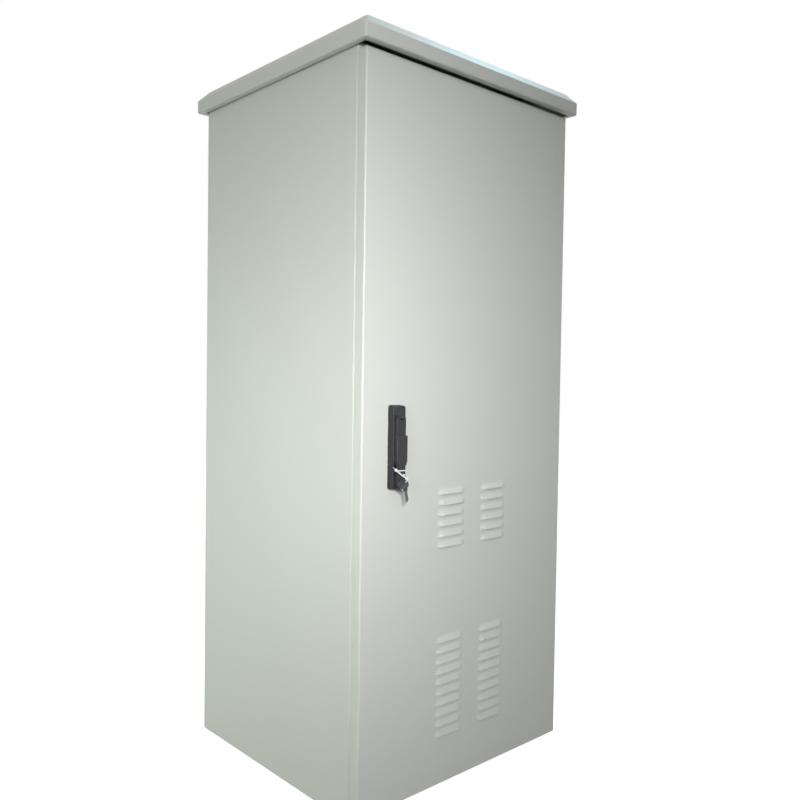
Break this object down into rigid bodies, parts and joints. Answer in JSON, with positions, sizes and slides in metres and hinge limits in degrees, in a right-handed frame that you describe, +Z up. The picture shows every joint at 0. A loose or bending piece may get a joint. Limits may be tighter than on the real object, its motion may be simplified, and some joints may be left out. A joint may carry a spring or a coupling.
{
  "type": "roadside utility cabinet",
  "caption": "Tall free-standing sheet-steel roadside cabinet with bevelled roof cap, louvred full-height door, swing handle, rod lock, equipment rails and roof fans.",
  "frame": {"origin": "on the ground plane, at the centre of the four anchor holes in the base frame", "axes": "+Z up, -Y out of the door's face, +X to the right for a person who faces the door (the hinge side)"},
  "size_m": [0.743, 0.7406, 1.7505],
  "materials": {
    "grey_paint": "light grey textured powder coat, satin",
    "plated_steel": "zinc-plated, dull",
    "black_rubber": "matt",
    "black_plastic": "fine-textured, matt",
    "black_coat": "black powder coat, satin, on die-cast metal",
    "filter_mat": "open fibre mat",
    "copper": "plain copper, dull",
    "bright_chrome": "polished",
    "white_nylon": "plain"
  },
  "bodies": {
    "cabinet": {"base_frame": "grey_paint", "gland_plate": "plated_steel", "cable_grommets": "black_rubber", "left_side_panel": "grey_paint", "right_side_panel": "grey_paint", "front_frame": "grey_paint", "rear_panel": "grey_paint", "top_panel": "grey_paint", "roof_cap": "grey_paint", "roof_standoffs": "plated_steel", "roof_bolts": "plated_steel", "left_fan_housing": "black_plastic", "right_fan_housing": "black_plastic", "left_lower_depth_bar": "plated_steel", "left_middle_depth_bar": "plated_steel", "left_upper_depth_bar": "plated_steel", "right_lower_depth_bar": "plated_steel", "right_middle_depth_bar": "plated_steel", "right_upper_depth_bar": "plated_steel", "front_left_rail": "plated_steel", "front_right_rail": "plated_steel", "rear_left_rail": "plated_steel", "rear_right_rail": "plated_steel", "earth_supports": "black_plastic", "earth_bar": "copper", "lower_hinge_bracket": "plated_steel", "middle_hinge_bracket": "plated_steel", "upper_hinge_bracket": "plated_steel", "hinge_pins": "plated_steel", "upper_keeper": "plated_steel", "lower_keeper": "plated_steel"},
    "door": {"door_shell": "grey_paint", "door_gasket": "black_rubber", "lock_side_stiffener": "grey_paint", "hinge_side_stiffener": "grey_paint", "upper_filter_holder": "black_plastic", "lower_filter_holder": "black_plastic", "upper_filter_mat": "filter_mat", "lower_filter_mat": "filter_mat", "lower_hinge_leaf": "plated_steel", "middle_hinge_leaf": "plated_steel", "upper_hinge_leaf": "plated_steel", "handle_base": "black_plastic", "handle_screws": "plated_steel", "lock_plate": "plated_steel", "rod_guides": "black_plastic"},
    "spindle": {"spindle": "black_coat", "pinion": "plated_steel", "spindle_screw": "plated_steel", "lever_pin": "plated_steel"},
    "lever": {"handle_lever": "black_plastic", "key_bow": "black_plastic", "key_blade": "plated_steel", "key_tie": "white_nylon"},
    "barrel": {"lock_barrel": "bright_chrome"},
    "upper_rod": {"upper_rod": "plated_steel"},
    "lower_rod": {"lower_rod": "plated_steel"},
    "left_fan": {"left_fan_rotor": "black_plastic"},
    "right_fan": {"right_fan_rotor": "black_plastic"}
  },
  "joints": [
    {"name": "door_hinge", "type": "hinge", "parent": "cabinet", "child": "door", "pos_m": [0.338, -0.342, 0.852], "axis": [0, 0, 1], "range_deg": [0, 115]},
    {"name": "handle_turn", "type": "hinge", "parent": "door", "child": "spindle", "pos_m": [-0.2555, -0.3685, 0.897], "axis": [0, -1, 0], "range_deg": [0, 90]},
    {"name": "handle_lift", "type": "hinge", "parent": "spindle", "child": "lever", "pos_m": [-0.2555, -0.3722, 0.897], "axis": [-1, 0, 0], "range_deg": [0, 35]},
    {"name": "barrel_turn", "type": "hinge", "parent": "lever", "child": "barrel", "pos_m": [-0.2555, -0.375, 0.748], "axis": [0, -1, 0], "range_deg": [0, 90]},
    {"name": "upper_rod_slide", "type": "slide", "parent": "door", "child": "upper_rod", "axis": [0, 0, -1], "range_m": [0, 0.01964]},
    {"name": "lower_rod_slide", "type": "slide", "parent": "door", "child": "lower_rod", "axis": [0, 0, 1], "range_m": [0, 0.01964]},
    {"name": "left_fan_spin", "type": "hinge", "parent": "cabinet", "child": "left_fan", "pos_m": [-0.11, 0, 1.68], "axis": [0, 0, 1], "continuous": true},
    {"name": "right_fan_spin", "type": "hinge", "parent": "cabinet", "child": "right_fan", "pos_m": [0.11, 0, 1.68], "axis": [0, 0, 1], "continuous": true}
  ],
  "couplings": [
    {"joint": "upper_rod_slide", "follows": "handle_turn", "m_per_rad": 0.0125},
    {"joint": "lower_rod_slide", "follows": "handle_turn", "m_per_rad": 0.0125}
  ]
}
